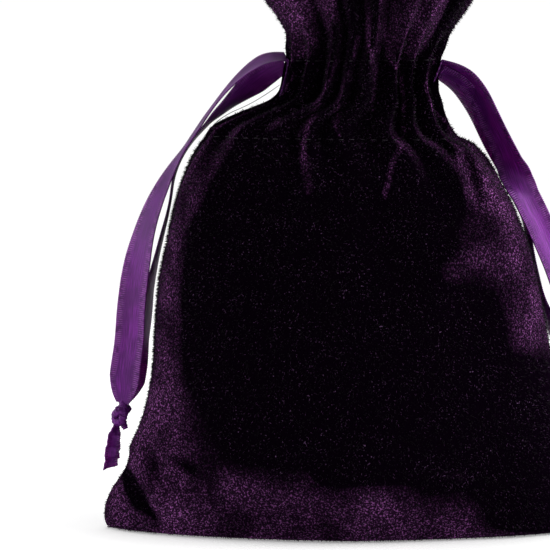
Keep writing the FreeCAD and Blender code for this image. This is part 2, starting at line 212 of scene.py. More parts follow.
def standing_panel(pleats, side):
    """The panel's cloth as it stands: a grid of points, rows up and columns across.

    side is -1 in front. Also returns the outward normals of the plain outline, which point
    along X at both side edges.
    """
    shares = np.linspace(0, 1, COLUMNS + 1)
    edge = np.abs(2 * shares - 1)
    start = FLOOR_CLEARANCE + CORNER_LIFT * edge**CORNER_SHARPNESS
    levels = np.linspace(0, 1, LENGTH_STEPS + 1)
    heights = start + np.outer(levels, HEIGHT - start)
    fine = np.linspace(0, HEIGHT, SECTION_STEPS + 1)
    sections = np.array([outline(z, shares) for z in fine])
    columns = np.arange(COLUMNS + 1)

    def at(z, part):
        index = np.clip(z / HEIGHT * SECTION_STEPS, 0, SECTION_STEPS - 0.001)
        low = index.astype(int)
        mix = index - low
        return sections[low, part, columns] * (1 - mix) + sections[low + 1, part, columns] * mix

    x, y = at(heights, 0), at(heights, 1)
    steps = np.sqrt(sum(np.diff(way, axis=0) ** 2 for way in (x, y, heights)))
    run = np.vstack([np.zeros(COLUMNS + 1), np.cumsum(steps, axis=0)])
    under = np.maximum(np.abs(y[0]), 1e-6)
    row_heights = np.zeros((ROWS + 1, COLUMNS + 1))
    on_floor = np.zeros((ROWS + 1, COLUMNS + 1))
    for c in columns:
        marks = [
            np.interp(z, heights[:, c], run[:, c]) + under[c]
            for z in (LOWER_ROW_HEIGHT, UPPER_ROW_HEIGHT, HEIGHT)
        ]
        length = np.interp(CLOTH, [0, LOWER_ROW, UPPER_ROW, FLAT_HEIGHT], [0] + marks)
        row_heights[:, c] = np.interp(length - under[c], run[:, c], heights[:, c])
        on_floor[:, c] = np.clip(length / under[c], 0, 1)
    points = np.zeros((ROWS + 1, COLUMNS + 1, 3))
    normals = np.zeros((ROWS + 1, COLUMNS + 1, 3))
    for r, z in enumerate(row_heights):
        nx, ny = at(z, 2), at(z, 3)
        inward = pleats.depth_at(shares, z)
        depth = at(z, 1) * on_floor[r] - ny * inward
        points[r] = np.stack([at(z, 0) - nx * inward, -side * depth, z], axis=1)
        normals[r, :, 0], normals[r, :, 1] = nx, -side * ny
    return points, normals


def grid_normals(grid, side):
    """Outward normals of a panel's grid as it is folded and pleated."""
    return unit(-side * np.cross(np.gradient(grid, axis=1), np.gradient(grid, axis=0)))


# ---- the cloth settles ----

SIM_SCALE = 10  # the solver is steadier on a pouch ten times as large
SIM_FRAMES = 36
CLOTH_SETTINGS = {
    "quality": 6,
    "mass": 0.004,
    "air_damping": 4,
    "tension_stiffness": 25,
    "compression_stiffness": 25,
    "shear_stiffness": 10,
    "bending_stiffness": 0.3,
    "tension_damping": 8,
    "compression_damping": 8,
    "vertex_group_mass": "held",
    "pin_stiffness": 0.6,
    "use_pressure": True,
    "uniform_pressure_force": 0.9,
}
SIM_GRAVITY = 0.08  # a little of it, because the standing shape already hangs
SPARE_WIDTH = 1.03  # the cloth is cut this much wider than it stands, so that it creases
FOOT_HEIGHT = 0.5  # below this the cloth is held firmly
# cloth length, how firmly the standing shape holds the cloth there
HOLD = np.array([
    (0, 0.6), (12, 0.42), (30, 0.3), (70, 0.3), (88, 0.42), (98, 0.75),
    (104, 1.0), (112, 1.0), (118, 0.8), (140, 0.6),
])


def settle(front, back):
    """Cloth simulation of both panels, sewn at the sides and the foot, as they stand."""
    count = front.shape[0] * front.shape[1]
    index_front = np.arange(count).reshape(ROWS + 1, COLUMNS + 1)
    index_back = index_front + count
    index_back[:, [0, -1]] = index_front[:, [0, -1]]
    index_back[0] = index_front[0]
    used = np.unique(np.concatenate([index_front.ravel(), index_back.ravel()]))
    renumber = -np.ones(2 * count, int)
    renumber[used] = np.arange(len(used))
    f, b = renumber[index_front], renumber[index_back]
    points = np.vstack([front.reshape(-1, 3), back.reshape(-1, 3)])[used]
    flat = np.zeros((ROWS + 1, COLUMNS + 1, 3))
    flat[..., 0] = np.linspace(-0.5, 0.5, COLUMNS + 1) * FLAT_WIDTH * SPARE_WIDTH
    flat[..., 2] = CLOTH[:, None]
    flat = np.vstack([flat.reshape(-1, 3)] * 2)[used]
    faces = [tuple(f.ravel()[list(q)].tolist()) for q in quads(ROWS, COLUMNS)]
    faces += [tuple(b.ravel()[list(q[::-1])].tolist()) for q in quads(ROWS, COLUMNS)]
    cloth = mesh_piece("settling", points * SIM_SCALE, faces)
    cloth.shape_key_add(name="Basis")
    cut = cloth.shape_key_add(name="cut")
    cut.data.foreach_set("co", (flat * MM * SIM_SCALE).astype(np.float32).ravel())
    held = cloth.vertex_groups.new(name="held")
    length_of = np.zeros(len(used))
    for grid in (f, b):
        length_of[grid] = CLOTH[:, None]
    weight = np.interp(length_of, HOLD[:, 0], HOLD[:, 1])
    weight = np.where(points[:, 2] < FOOT_HEIGHT, 1.0, weight).round(2)
    for value in np.unique(weight):
        held.add(np.where(weight == value)[0].tolist(), float(value), "REPLACE")
    modifier = cloth.modifiers.new("cloth", "CLOTH")
    for setting, value in CLOTH_SETTINGS.items():
        setattr(modifier.settings, setting, value)
    modifier.settings.rest_shape_key = cut
    modifier.settings.effector_weights.gravity = SIM_GRAVITY
    modifier.collision_settings.use_collision = False
    modifier.point_cache.frame_end = SIM_FRAMES
    for n in range(1, SIM_FRAMES + 1):
        bpy.context.scene.frame_set(n)
    settled = cloth.evaluated_get(bpy.context.evaluated_depsgraph_get()).to_mesh()
    co = np.empty(len(used) * 3, np.float32)
    settled.vertices.foreach_get("co", co)
    co = co.reshape(-1, 3).astype(float) / MM / SIM_SCALE
    bpy.data.objects.remove(cloth)
    bpy.context.scene.frame_set(1)
    return co[f], co[b]


# Folds and dents in each panel: x and z of both ends, width, and how far the cloth comes out.
FOLDS = {-1: [
    (-30, 80, -30.4, 58, 2.6, 0.9), (-26, 76, -27, 60, 3, -0.5), (18, 82, 20.6, 68, 1.3, 1.5),
    (20.2, 80, 23.4, 67, 1, -1.8), (-12.4, 74, -11.6, 66, 1.1, 0.9), (-11, 64, -15, 61.5, 2, 0.9),
    (2, 68, 6, 56, 4, -0.6), (16, 53, 33, 66, 4.2, 1), (20, 47.5, 31, 50, 3.2, -1.3),
    (27, 42, 33, 30, 3.6, 0.8), (-45.6, 12, -38.4, 2.4, 1, -1.9),
    (-43.4, 14.6, -35.4, 4.6, 1.6, 1.2), (-39.6, 16, -38.6, 13, 1.2, -0.9),
    (-37, 34, -35, 22, 3.2, -0.6), (-24, 12.5, 2, 10.5, 3, 0.7), (6, 13, 20, 10, 2.6, -0.6),
    (34, 6, 38, 26, 8, 2.2), (-6, 30, 12, 26, 6, -0.5), (-17, 119, -10, 98, 3.6, 1.4),
    (-10, 119, -7, 97, 1.5, -1.6), (14, 119, 10.8, 98, 4.4, 2.4), (6, 117, 6, 97, 1, -1.8),
    (24, 117, 14.4, 96, 1.3, -2.4),
], 1: [
    (29, 78, 30, 60, 2.6, 0.8), (-24, 76, -25, 62, 2.2, 0.9), (-6, 70, -12, 54, 3.2, -0.9),
    (8, 66, 20, 50, 3.6, 0.9), (-30, 44, -18, 56, 3.8, 0.9), (-34, 30, -22, 22, 3.6, -0.9),
    (43, 14, 35, 5, 1.6, -1), (-43, 13, -35, 5.5, 1.6, -0.9), (-10, 14, 18, 11, 3, 0.7),
    (4, 36, 22, 30, 5, -0.7), (-14, 119, -9, 98, 3.8, 1.6), (16, 119, 11, 98, 3.6, 1.5),
    (-5, 118, -4, 98, 1.5, -1.4),
]}


def distance_to(x, z, x0, z0, x1, z1):
    """Distance of points from a line in X and Z, and how far along it they lie, from 0 to 1."""
    dx, dz = x1 - x0, z1 - z0
    along = np.clip(((x - x0) * dx + (z - z0) * dz) / (dx**2 + dz**2), 0, 1)
    return np.hypot(x - x0 - along * dx, z - z0 - along * dz), along


def fold_cloth(grid, side):
    """Presses the panel's folds and dents into it, fading to nothing at its side edges."""
    facing = np.abs(grid_normals(grid, side)[..., 1])
    x, z = grid[..., 0].copy(), grid[..., 2].copy()
    for *ends, width, out in FOLDS[side]:
        off, along = distance_to(x, z, *ends)
        swell = np.exp(-((off / width) ** 2)) * (0.6 + 0.4 * np.sin(math.pi * along))
        grid[..., 1] += side * out * swell * np.sqrt(facing)


def draw_in_stitching(grid, out):
    """Pulls the cloth in along the casing's two rows of stitching."""
    for row in (LOWER_ROW, UPPER_ROW):
        pull = STITCH_GROOVE * np.exp(-(((CLOTH - row) / GROOVE_WIDTH) ** 2))
        grid -= out * pull[:, None, None]


def part_mouth(grid, side):
    """Draws the panel's side edges back from the other panel's, where the mouth isn't sewn."""
    gap = SLIT_GAP * smoothstep(*SLIT_OPENS, CLOTH)
    gap += (RIM_GAP - SLIT_GAP) * smoothstep(*SLIT_CLOSES, CLOTH)
    grid[..., 1] = side * np.hypot(np.maximum(side * grid[..., 1], 0), gap[:, None])


def quads(rows, columns):
    """Faces of a grid of points that are numbered row by row."""
    faces = []
    for r in range(rows):
        for c in range(columns):
            a = r * (columns + 1) + c
            faces.append((a, a + 1, a + columns + 2, a + columns + 1))
    return faces


def mesh_piece(name, points, faces, material=None):
    mesh = bpy.data.meshes.new(name)
    mesh.from_pydata((np.asarray(points) * MM).tolist(), [], faces)
    mesh.polygons.foreach_set("use_smooth", [True] * len(mesh.polygons))
    piece = bpy.data.objects.new(name, mesh)
    bpy.context.scene.collection.objects.link(piece)
    if material:
        mesh.materials.append(material)
    return piece


def grid_piece(name, grid, material, side=-1):
    """A piece from a grid of points, with its faces turned outwards."""
    rows, columns = grid.shape[0] - 1, grid.shape[1] - 1
    faces = [q[::-side] for q in quads(rows, columns)]
    return mesh_piece(name, grid.reshape(-1, 3), faces, material)


front, front_out = standing_panel(Pleats(11), -1)
back, back_out = standing_panel(Pleats(23), 1)
front, back = settle(front, back)
PANELS = {-1: (front, front_out), 1: (back, back_out)}
for side, (grid, out) in PANELS.items():
    grid[..., 2] = np.maximum(grid[..., 2], FLOOR_CLEARANCE)
    fold_cloth(grid, side)
    draw_in_stitching(grid, out)
    part_mouth(grid, side)

# ---- materials ----


def new_material(name):
    material = bpy.data.materials.new(name)
    material.use_nodes = True
    return material, material.node_tree, material.node_tree.nodes["Principled BSDF"]


def set_inputs(shader, **values):
    for name, value in values.items():
        shader.inputs[name.replace("_", " ")].default_value = value


def noise(tree, scale, detail):
    """Noise over the object's own coordinates; scale is in waves per metre."""
    place = tree.nodes.new("ShaderNodeTexCoord")
    texture = tree.nodes.new("ShaderNodeTexNoise")
    set_inputs(texture, Scale=scale, Detail=detail)
    tree.links.new(place.outputs["Object"], texture.inputs["Vector"])
    return texture.outputs["Fac"]


def stored(tree, name):
    """A value that was stored with a piece's points."""
    node = tree.nodes.new("ShaderNodeAttribute")
    node.attribute_name = name
    return node.outputs["Fac"]


def remap(tree, value, low, high, to_low=0.0, to_high=1.0):
    """Takes a value's range smoothly to another range, and stops at its ends."""
    node = tree.nodes.new("ShaderNodeMapRange")
    node.interpolation_type = "SMOOTHSTEP"
    for index, number in enumerate((low, high, to_low, to_high), start=1):
        node.inputs[index].default_value = number
    tree.links.new(value, node.inputs[0])
    return node.outputs[0]


def arithmetic(tree, operation, *values):
    """A Math node; each value is a number or another node's output."""
    node = tree.nodes.new("ShaderNodeMath")
    node.operation = operation
    for socket, value in zip(node.inputs, values):
        if isinstance(value, (int, float)):
            socket.default_value = value
        else:
            tree.links.new(value, socket)
    return node.outputs[0]


def multiply(tree, a, b):
    return arithmetic(tree, "MULTIPLY", a, b)


def blend_colours(tree, factor, a, b):
    """Mixes two colours; each is a colour or another node's output."""
    node = tree.nodes.new("ShaderNodeMix")
    node.data_type = "RGBA"
    tree.links.new(factor, node.inputs[0])
    for socket, colour in ((node.inputs[6], a), (node.inputs[7], b)):
        if isinstance(colour, tuple):
            socket.default_value = (*colour, 1)
        else:
            tree.links.new(colour, socket)
    return node.outputs[2]


def bump(tree, height, distance, strength):
    node = tree.nodes.new("ShaderNodeBump")
    set_inputs(node, Strength=strength, Distance=distance)
    tree.links.new(height, node.inputs["Height"])
    return node.outputs["Normal"]


def velvet_material(name, deep, lit):
    """Pile that is nearly black from the front, with sheen painted into its colour where it is seen
    from the side and where painted sheen is stored.
    """
    material, tree, shader = new_material(name)
    # Painted sheen: the colour goes from deep towards lit at grazing angles and where painted sheen
    # or shade is stored, in patches and speckles.
    weight = tree.nodes.new("ShaderNodeLayerWeight")
    set_inputs(weight, Blend=0.5)
    grazing = remap(tree, weight.outputs["Facing"], 0.03, 0.6, 0.0, 0.6)
    patches = remap(tree, noise(tree, 130, 5), 0.32, 0.66, 0.2)
    sheen_mask = arithmetic(tree, "ADD", grazing, stored(tree, "painted_sheen"))
    sheen_mask.node.use_clamp = True
    tufts = remap(tree, noise(tree, 3000, 2), 0.5, 0.71, 0.05)
    shine = multiply(tree, multiply(tree, sheen_mask, patches), tufts)
    colour = blend_colours(tree, shine, deep, lit)
    # Painted glints: pale specks in clusters.
    glints = remap(tree, noise(tree, 2600, 1), 0.68, 0.78, 0.0, 0.6)
    clusters = remap(tree, noise(tree, 160, 2), 0.4, 0.65)
    glints = multiply(tree, glints, clusters)
    colour = blend_colours(tree, glints, colour, (0.15, 0.08, 0.17))
    tree.links.new(colour, shader.inputs["Base Color"])
    tree.links.new(bump(tree, noise(tree, 3000, 2), 0.0003, 0.8), shader.inputs["Normal"])
    set_inputs(shader, Roughness=0.95, Specular_IOR_Level=0.0,
               Sheen_Weight=0.05, Sheen_Roughness=0.25, Sheen_Tint=(0.42, 0.14, 0.5, 1))
    return material


def pile_material():
    """Each fibre has its own tone, and the few with the highest are painted bright as glints."""
    material, tree, shader = new_material("velvet_pile")
    painted_glint = remap(tree, stored(tree, "tone"), 0.7, 1.0)
    colour = blend_colours(tree, painted_glint, (0.0022, 0.0006, 0.0028), (0.07, 0.026, 0.08))
    tree.links.new(colour, shader.inputs["Base Color"])
    set_inputs(shader, Roughness=0.6, Specular_IOR_Level=0.15)
    return material


def satin_material():
    """Woven satin: fine lengthwise floats, slow changes of tone, and bars along both selvages,
    whose lighter colour is a painted highlight.
    """
    material, tree, shader = new_material("satin_ribbon")
    place = tree.nodes.new("ShaderNodeUVMap")
    place.uv_map = "ribbon"
    floats = tree.nodes.new("ShaderNodeTexNoise")
    stretch = tree.nodes.new("ShaderNodeMapping")
    stretch.inputs["Scale"].default_value = (60, 2.5, 1)
    tree.links.new(place.outputs[0], stretch.inputs[0])
    tree.links.new(stretch.outputs[0], floats.inputs["Vector"])
    set_inputs(floats, Scale=1.0, Detail=3.0)
    tone = remap(tree, floats.outputs["Fac"], 0.3, 0.7)
    patches = remap(tree, noise(tree, 140, 3), 0.35, 0.65, 0.25)
    colour = blend_colours(tree, multiply(tree, tone, patches),
                           (0.05, 0.002, 0.078), (0.15, 0.011, 0.222))
    axes = tree.nodes.new("ShaderNodeSeparateXYZ")
    tree.links.new(place.outputs[0], axes.inputs[0])
    middle = RIBBON_WIDTH / 2 / MM_PER_CM
    off_middle = arithmetic(tree, "SUBTRACT", axes.outputs[0], middle)
    off_middle = arithmetic(tree, "ABSOLUTE", off_middle)
    edge = middle - SELVAGE / MM_PER_CM
    selvage = remap(tree, off_middle, edge - 0.04, edge + 0.07, 0.0, 0.65)
    phase = multiply(tree, axes.outputs[1], 2 * math.pi * MM_PER_CM / BAR_PITCH)
    bars = remap(tree, arithmetic(tree, "SINE", phase), -0.3, 0.7)
    # Painted highlight on the selvage's bars, broken up at random.
    bar_patchiness = remap(tree, noise(tree, 900, 2), 0.36, 0.56, 0.1)
    colour = blend_colours(tree, selvage, colour, (0.04, 0.004, 0.06))
    lit_bars = multiply(tree, multiply(tree, selvage, bars), bar_patchiness)
    colour = blend_colours(tree, lit_bars, colour, (0.22, 0.055, 0.28))
    tree.links.new(colour, shader.inputs["Base Color"])
    tree.links.new(bump(tree, floats.outputs["Fac"], 0.00004, 0.6), shader.inputs["Normal"])
    set_inputs(shader, Roughness=0.42, Metallic=0.35, Specular_IOR_Level=0.22, Anisotropic=0.5,
               Subsurface_Weight=0.5, Subsurface_Radius=(1.0, 0.15, 0.9), Subsurface_Scale=0.001,
               Sheen_Weight=0.015, Sheen_Roughness=0.4, Sheen_Tint=(0.75, 0.4, 0.9, 1))
    return material


def thread_material():
    material, tree, shader = new_material("sewing_thread")
    tone = remap(tree, noise(tree, 3000, 2), 0.4, 0.6)
    tree.links.new(blend_colours(tree, tone, (0.003, 0.001, 0.004), (0.008, 0.003, 0.01)),
              shader.inputs["Base Color"])
    set_inputs(shader, Roughness=0.55, Specular_IOR_Level=0.3)
    return material


# deep is the pile's own colour; lit is the colour of the painted sheen.
velvet = velvet_material("velvet", (0.0016, 0.0004, 0.002), (0.36, 0.11, 0.38))
velvet_inside = velvet_material("velvet_inside", (0.002, 0.0006, 0.0026), (0.05, 0.014, 0.06))
pile = pile_material()
satin = satin_material()
thread = thread_material()

# ---- velvet pieces ----

# name of each panel's pieces, by its side
SIDE_NAME = {-1: "front", 1: "back"}
PILE_COUNT, PILE_START = 42000, 3  # cloth length from which the fibres stand
PILE_LENGTH, PILE_WIDTH = (0.3, 0.7), 0.14
PILE_LEAN, PILE_COMBED = 0.38, (0, 0, -0.25)  # at random, and downwards
FIBRE_TURNS = (0, 2.094, 4.189)  # of a fibre's three corners, in radians
FOLD_WIDTH, FOLD_DROP, FOLD_SAG = 5.0, 0.12, 0.05  # the crease at the foot, below the cloth


def turn_with_mouth(piece):
    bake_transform(piece)


def on_cloth(grid, length, share):
    """Points of a grid at a cloth length and a share across it."""
    r = np.clip(np.asarray(length, float) / FLAT_HEIGHT * ROWS, 0, ROWS - 1e-6)
    c = np.clip(np.asarray(share, float) * COLUMNS, 0, COLUMNS - 1e-6)
    i, j = r.astype(int), c.astype(int)
    u, v = (r - i)[..., None], (c - j)[..., None]
    return (
        grid[i, j] * (1 - u) * (1 - v) + grid[i + 1, j] * u * (1 - v)
        + grid[i, j + 1] * (1 - u) * v + grid[i + 1, j + 1] * u * v
    )


def hem_roll(edge, inward, beyond):
    """Rows of points that take an edge round half a turn to the inner side of the hem."""
    radius = HEM_THICKNESS / 2
    rows = []
    for k in range(1, HEM_ROLL_STEPS + 1):
        turn = math.pi * k / HEM_ROLL_STEPS
        row = edge + inward * radius * (1 - math.cos(turn))
        rows.append(row + beyond * radius * math.sin(turn))
    return rows


# Sheen (+) and shade (-) painted into the pile's colour: x and z of both ends, width,
# and how much.
PAINTED_SHEEN_MARKS = {-1: [
    (-34, 71, -37.8, 24, 2.5, 0.22), (-30, 74, -30, 66, 2, 0.25), (-41, 22, -36.4, 9, 5.2, 0.55),
    (-40, 5, 20, 5, 4.4, 0.55), (-47.4, 6.6, -46.4, 1.2, 1.6, 0.5),
    (-44.8, 11, -42.2, 7.6, 1.2, -1.1), (-42.2, 7, -38.6, 3.8, 1, -1.1),
    (-44, 8.6, -42.4, 6.2, 2, -0.4), (-39.6, 16, -38.8, 13.4, 0.9, -0.6),
    (-34.8, 15.2, -31.6, 13.4, 1.1, -0.5), (-24, 12.6, -10, 13.6, 1.8, 0.25),
    (-34, 10, 10, 9.4, 2.2, 0.22), (2, 9, 8, 9, 2.6, 0.3), (17, 14.5, 21, 14, 2, 0.3),
    (22, 75, 27, 68, 1.8, 0.4), (26, 66, 31, 57, 3.4, 0.16), (18.2, 53.5, 24, 56, 2.4, 0.42),
    (21, 60.5, 29, 65, 2.6, 0.16), (30.6, 38.5, 28.8, 34.5, 2.2, 0.3),
    (31.6, 52, 36, 39, 3.6, 0.46), (36, 30, 40, 8, 8.5, -0.8), (-16, 63.6, -11.5, 61, 2, 0.4),
    (-9.4, 74.5, -9.2, 69, 1.1, 0.6), (-13.6, 109, -11.6, 98.6, 2.8, 0.65),
    (-8.2, 98.2, -9.6, 95, 0.8, 0.6), (-9.6, 95, -12.4, 93.6, 0.7, 0.6),
    (-5, 109, -4.4, 101, 0.8, 0.6), (13.6, 109, 10.8, 98.8, 3.3, 0.65),
    (12.2, 98.6, 12.1, 95.6, 1.4, 0.5), (22, 109, 16.8, 96.5, 1.7, -1),
    (0.6, 112, 0, 97, 3.4, -0.6), (-15, 86, 14, 86, 6.4, -0.6), (-8, 52, 10, 28, 19, -0.5),
    (-29, 60, -29, 34, 4.4, -0.5),
], 1: [
    (44, 5, -44, 5, 4.6, 0.45), (37, 66, 38, 24, 3, 0.35), (-34, 60, -37, 22, 3.4, 0.4),
    (-24, 70, -16, 58, 3.6, 0.4), (14, 44, 24, 52, 3.4, 0.4), (6, 24, 20, 20, 4, 0.3),
    (14, 112, 10, 99, 3.8, 0.5), (-15, 112, -11, 99, 3.6, 0.45), (-16, 86, 16, 86, 8, -0.45),
    (0, 56, -8, 30, 15, -0.45),
]}

# Thin ridges of the gathers, as (x, z) points, along which a highlight is painted into the pile's
# colour.
RIDGES = {-1: [
    [(-3.7, 93.1), (-5.3, 88.9), (-8.1, 83.5), (-9.9, 78.4), (-10.1, 72.6)],
    [(-1.5, 91.1), (-3.3, 85.9), (-3.9, 82.2), (-3.3, 79)],
    [(5.8, 99), (6.4, 94.5), (8.6, 91.1), (9.5, 83), (9.2, 78.6), (7, 74), (5.4, 68)],
    [(4.2, 92.1), (3.8, 86.9), (3.2, 83.5)],
    [(1.7, 106), (2.4, 98), (3.1, 93.6)],
    [(0.6, 97.8), (-0.2, 94)],
    [(15.7, 93.9), (13.7, 88.5), (15.1, 84), (17.5, 81.4)],
    [(-12, 90.5), (-14, 86.4), (-15.2, 81.4), (-16.6, 80.8)],
], 1: [
    [(4, 94), (6.6, 86), (9, 77)],
    [(-2, 93), (-1.4, 84), (-3, 75)],
    [(-8, 94), (-9.6, 86), (-13, 78)],
    [(12, 92), (14.4, 84)],
]}
# how wide the painted ridge highlight is, and how strong
RIDGE_WIDTH, RIDGE_LIGHT = 0.4, 1.1
SHEEN_MARK_REACH = 1.25  # times a painted sheen mark's width


def along_ridges(x, z, side):
    """How much of a ridge there is at each point, from 0 to 1."""
    amount = np.zeros(x.shape)
    for ridge in RIDGES[side]:
        for start, end in zip(ridge, ridge[1:]):
            off, _ = distance_to(x, z, *start, *end)
            amount = np.maximum(amount, np.exp(-((off / RIDGE_WIDTH) ** 2)))
    return amount


def store(piece, name, values):
    """Stores a value with each of a piece's points, which its material reads."""
    attribute = piece.data.attributes.new(name, "FLOAT", "POINT")
    attribute.data.foreach_set("value", values.astype(np.float32))


def paint_sheen(piece, side):
    """Stores painted sheen (+) and painted shade (-) at each point, which the velvet's colour
    reads.
    """
    place = np.empty(len(piece.data.vertices) * 3, np.float32)
    piece.data.vertices.foreach_get("co", place)
    place = place.reshape(-1, 3) / MM
    amount = np.zeros(len(place))
    # Painted sheen and painted shade from the marks.
    for *ends, width, by in PAINTED_SHEEN_MARKS[side]:
        off, _ = distance_to(place[:, 0], place[:, 2], *ends)
        amount += by * np.exp(-((off / (SHEEN_MARK_REACH * width)) ** 2))
    # Painted highlights along the gathers' ridges.
    amount += RIDGE_LIGHT * along_ridges(place[:, 0], place[:, 2], side)
    store(piece, "painted_sheen", amount)


def make_panel(side):
    """The panel, casing and header are one cloth, which turns over at the rim."""
    grid, out = PANELS[side]
    name = SIDE_NAME[side]
    rim = hem_roll(grid[-1], -out[-1], np.array([0.0, 0.0, 1.0]))
    piece = grid_piece(f"{name}_velvet", np.concatenate([grid, np.array(rim)]), velvet, side)
    paint_sheen(piece, side)
    smooth = piece.modifiers.new("smooth", "SUBSURF")
    smooth.levels = smooth.render_levels = 1
    turn_with_mouth(piece)
    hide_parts(f"{name}_panel", f"{name}_casing", f"{name}_header")
    return piece


def make_facing(side):
    """The hem's inner layer, with both of its side edges turned out to meet the panel."""
    grid, out = PANELS[side]
    name = SIDE_NAME[side]
    rows = CLOTH >= FLAT_HEIGHT - FACING - 1
    outer, inward = grid[rows][::-1], -out[rows][::-1]
    inner = outer + inward * HEM_THICKNESS
    beyond = np.array([0.0, -side, 0.0])
    left = hem_roll(outer[:, 0], inward[:, 0], beyond)
    right = hem_roll(outer[:, -1], inward[:, -1], beyond)
    columns = [outer[:, 0], *left, *np.moveaxis(inner[:, 1:-1], 1, 0), *right[::-1], outer[:, -1]]
    piece = grid_piece(f"{name}_facing_cloth", np.stack(columns, axis=1), velvet_inside, side)
    turn_with_mouth(piece)
    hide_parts(f"{name}_facing")
    return piece


def make_pile(side):
    """Short fibres all over the panel, combed down a little; each is a thin closed spike."""
    grid, _ = PANELS[side]
    rng = np.random.default_rng(40 + side)
    normals = grid_normals(grid, side)
    length = rng.uniform(PILE_START, FLAT_HEIGHT, PILE_COUNT)
    share = rng.uniform(0, 1, PILE_COUNT)
    root, up = on_cloth(grid, length, share), unit(on_cloth(normals, length, share))
    lean = rng.normal(0, PILE_LEAN, (PILE_COUNT, 3)) + np.array(PILE_COMBED)
    way = unit(up + lean)
    one = unit(np.cross(way, rng.normal(0, 1, (PILE_COUNT, 3))))
    two = np.cross(way, one)
    tip = root + way * rng.uniform(*PILE_LENGTH, (PILE_COUNT, 1))
    radius = PILE_WIDTH / 2
    corners = [root + radius * (math.cos(a) * one + math.sin(a) * two) for a in FIBRE_TURNS]
    points = np.stack([*corners, tip], axis=1).reshape(-1, 3)
    points[:, 2] = np.maximum(points[:, 2], FLOOR_CLEARANCE / 2)
    first = np.arange(PILE_COUNT)[:, None] * 4
    sides = ((0, 2, 1), (0, 1, 3), (1, 2, 3), (2, 0, 3))
    faces = np.concatenate([first + np.array(side_face) for side_face in sides])
    piece = mesh_piece(f"{SIDE_NAME[side]}_pile", points, faces.tolist(), pile)
    store(piece, "tone", np.repeat(rng.uniform(0, 1, PILE_COUNT), 4))
    turn_with_mouth(piece)
    return piece


def make_bottom_fold():
    """The crease that the pouch stands on, where the front turns into the back."""
    line = (front[0] + back[0]) / 2
    taper = np.sqrt(np.clip(1 - np.abs(line[:, 0] / line[-1, 0]) ** 8, 0.05, 1))
    rows = []
    for across in np.linspace(-1, 1, 9):
        below = FOLD_DROP + FOLD_SAG * math.cos(across * math.pi / 2)
        row = line - np.array([0, 0, below])
        row[:, 1] += across * FOLD_WIDTH / 2 * taper
        rows.append(row)
    piece = grid_piece("bottom_fold_cloth", np.array(rows), velvet)
    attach(piece, "pouch")
    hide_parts("bottom_fold")
    return piece


sheets = {side: [make_panel(side), make_facing(side), make_pile(side)] for side in (-1, 1)}
make_bottom_fold()

# ---- stitching ----

THREAD_RADIUS = 0.1
STITCH_LENGTH, STITCH_PITCH, FIRST_STITCH = 2.3, 3.2, 1.2
STITCH_HEIGHTS = [-0.35, -0.05, 0.06, 0.08, 0.06, -0.05, -0.35]  # above the cloth, from end to end
STITCH_ROWS = {"lower": LOWER_ROW + 0.4, "upper": UPPER_ROW - 0.4}


def tube(line, normal, wide, thin, sides=6, taper=0.45):
    """Closed tube of oval section along a line; wide lies across the normal."""
    tangent = unit(np.gradient(line, axis=0))
    across = unit(np.cross(tangent, normal))
    normal = np.cross(across, tangent)
    swell = np.interp(np.linspace(0, 1, len(line)), [0, 0.06, 0.94, 1], [taper, 1, 1, taper])
    lines = []
    for k in range(sides):
        turn = 2 * math.pi * k / sides
        off = across * math.cos(turn) * wide + normal * math.sin(turn) * thin
        lines.append(line + swell[:, None] * off)
    points = np.stack(lines, axis=1).reshape(-1, 3)
    last = (len(line) - 1) * sides
    faces = [tuple(range(sides)), tuple(last + k for k in reversed(range(sides)))]
    for r in range(0, last, sides):
        for k in range(sides):
            following = (k + 1) % sides
            faces.append((r + following, r + k, r + sides + k, r + sides + following))
    return points, faces


def joined(parts):
    """Points and faces of several parts as one."""
    points, faces, first = [], [], 0
    for part_points, part_faces in parts:
        points.append(part_points)
        faces += [tuple(i + first for i in face) for face in part_faces]
        first += len(part_points)
    return np.concatenate(points), faces


def make_casing_row(side, level):
    """One row of stitches across a panel; each one dips into the cloth at both ends."""
    grid, _ = PANELS[side]
    normals = grid_normals(grid, side)
    heights = np.array(STITCH_HEIGHTS)[:, None]
    stitches = []
    for start in np.arange(FIRST_STITCH, FLAT_WIDTH - STITCH_LENGTH - 1, STITCH_PITCH):
        share = np.linspace(start, start + STITCH_LENGTH, len(heights)) / FLAT_WIDTH
        length = np.full(len(heights), STITCH_ROWS[level])
        normal = unit(on_cloth(normals, length, share))
        line = on_cloth(grid, length, share) + normal * heights
        stitches.append(tube(line, normal, THREAD_RADIUS, THREAD_RADIUS))
    name = SIDE_NAME[side]
    piece = mesh_piece(f"{name}_{level}_casing_stitches", *joined(stitches), thread)
    turn_with_mouth(piece)
    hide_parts(f"{name}_{level}_stitching")


ALLOWANCE_WIDTH = 6.0
ALLOWANCE_ENDS = (8.0, LOWER_ROW - 4)
ALLOWANCE_LAYERS, ALLOWANCE_WAVE = (-0.45, 0.45), 0.5  # depths, and how far the inner edge waves
SEAM_INSET, SEAM_LAYERS = 1.1, (-0.62, 0.62)  # of the seam's stitches


